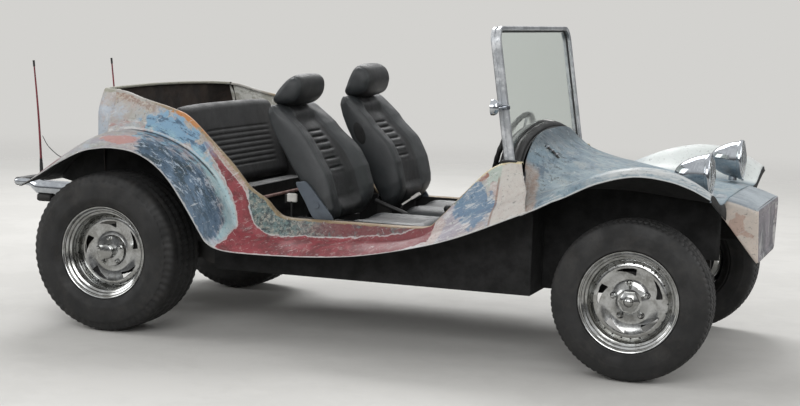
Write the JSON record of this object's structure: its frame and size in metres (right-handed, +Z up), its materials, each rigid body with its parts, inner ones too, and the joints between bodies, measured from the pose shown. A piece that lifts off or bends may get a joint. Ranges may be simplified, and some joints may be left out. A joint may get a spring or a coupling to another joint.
{
  "type": "dune buggy",
  "caption": "Open four-seat fibreglass beach buggy on a steel floor pan, with flared fenders, a barrel-arched hood, a flat screen and steerable, free-turning wheels.",
  "frame": {"origin": "centre of the bounding box on the ground, under the middle of the car", "axes": "+X forward, +Y to the car's left, +Z up"},
  "size_m": [3.574, 1.684, 1.4383],
  "materials": {
    "body_paint": "sanded fibreglass with patches of blue-grey, red oxide and primer",
    "black_moulding": "black underside coating",
    "chassis_black": "satin black",
    "steel": "bare steel",
    "engine_alloy": "cast light alloy",
    "chrome": "polished",
    "screen_tube": "polished tube",
    "clear_glass": "clear",
    "lamp_glass": "fluted clear glass",
    "mirror_glass": "mirror in a chrome shell",
    "black_vinyl": "grained black vinyl",
    "grey_vinyl": "grained dark grey vinyl",
    "tyre_rubber": "black rubber",
    "black_grip": "black grip",
    "red_lamp": "red lamp lens",
    "red_whip": "red coated whip"
  },
  "bodies": {
    "chassis": {"floor_pan": "chassis_black", "front_beam": "chassis_black", "trailing_arms": "chassis_black", "rear_torsion_housing": "chassis_black", "shock_absorbers": "chassis_black", "steering_box": "chassis_black", "steering_column": "chassis_black", "seat_frames": "chassis_black", "pedals": "chassis_black", "transaxle": "engine_alloy", "engine": "engine_alloy", "exhaust": "steel", "gear_lever": "steel", "handbrake": "steel", "rear_bumper": "chrome", "headlamps": "chrome", "headlamp_lenses": "lamp_glass", "tail_lamps": "red_lamp", "whip_antennas": "red_whip", "front_clip": "body_paint", "nose_panel": "body_paint", "nose_webs": "body_paint", "quarter_panel_left": "body_paint", "quarter_panel_right": "body_paint", "rear_fender_left": "body_paint", "rear_fender_right": "body_paint", "tub_side_left": "black_moulding", "tub_side_right": "black_moulding", "luggage_well": "black_moulding", "front_bulkhead": "black_moulding", "dash_panel": "black_moulding", "rear_seat_base": "black_moulding", "front_inner_panels": "black_moulding", "windscreen_frame": "screen_tube", "windscreen_glass": "clear_glass", "door_mirror": "mirror_glass", "seat_cushion_left": "grey_vinyl", "seat_cushion_right": "grey_vinyl", "seat_back_left": "grey_vinyl", "seat_back_right": "grey_vinyl", "rear_seat_back": "black_vinyl", "rear_seat_cushion": "black_vinyl"},
    "knuckle_left": {"steering_knuckle_left": "chassis_black"},
    "knuckle_right": {"steering_knuckle_right": "chassis_black"},
    "road_wheel_front_left": {"wheel_front_left": "chrome", "tyre_front_left": "tyre_rubber", "drum_front_left": "steel"},
    "road_wheel_rear_left": {"wheel_rear_left": "chrome", "tyre_rear_left": "tyre_rubber", "drum_rear_left": "steel"},
    "road_wheel_front_right": {"wheel_front_right": "chrome", "tyre_front_right": "tyre_rubber", "drum_front_right": "steel"},
    "road_wheel_rear_right": {"wheel_rear_right": "chrome", "tyre_rear_right": "tyre_rubber", "drum_rear_right": "steel"},
    "steering_wheel": {"steering_wheel": "black_grip"},
    "tie_rod": {"tie_rod": "chassis_black"},
    "drop_arm": {"drop_arm": "chassis_black"}
  },
  "joints": [
    {"name": "steer_left", "type": "hinge", "parent": "chassis", "child": "knuckle_left", "pos_m": [1.335, 0.56, 0.337], "axis": [0, 0, 1], "range_deg": [-28, 28]},
    {"name": "steer_right", "type": "hinge", "parent": "chassis", "child": "knuckle_right", "pos_m": [1.335, -0.56, 0.337], "axis": [0, 0, 1], "range_deg": [-28, 28]},
    {"name": "steering_wheel_turn", "type": "hinge", "parent": "chassis", "child": "steering_wheel", "pos_m": [0.52, 0.33, 0.85], "axis": [-0.9368, 0.0953, 0.3366], "range_deg": [-401, 401]},
    {"name": "tie_rod_shift", "type": "slide", "parent": "chassis", "child": "tie_rod", "axis": [0, 1, 0], "range_m": [-0.0612, 0.0612]},
    {"name": "drop_arm_swing", "type": "hinge", "parent": "chassis", "child": "drop_arm", "pos_m": [1.375, 0.23, 0.44], "axis": [0, 0, 1], "range_deg": [-21.5, 21.5]},
    {"name": "spin_front_left", "type": "hinge", "parent": "knuckle_left", "child": "road_wheel_front_left", "pos_m": [1.335, 0.66, 0.337], "axis": [0, 1, 0], "continuous": true},
    {"name": "spin_rear_left", "type": "hinge", "parent": "chassis", "child": "road_wheel_rear_left", "pos_m": [-1.065, 0.69, 0.363], "axis": [0, 1, 0], "continuous": true},
    {"name": "spin_front_right", "type": "hinge", "parent": "knuckle_right", "child": "road_wheel_front_right", "pos_m": [1.335, -0.66, 0.337], "axis": [0, 1, 0], "continuous": true},
    {"name": "spin_rear_right", "type": "hinge", "parent": "chassis", "child": "road_wheel_rear_right", "pos_m": [-1.065, -0.69, 0.363], "axis": [0, 1, 0], "continuous": true}
  ],
  "couplings": [
    {"joint": "steer_right", "follows": "steer_left", "ratio": 1},
    {"joint": "steering_wheel_turn", "follows": "steer_left", "ratio": 14.3},
    {"joint": "tie_rod_shift", "follows": "steer_left", "m_per_rad": -0.125},
    {"joint": "drop_arm_swing", "follows": "steer_left", "ratio": 0.75758}
  ]
}
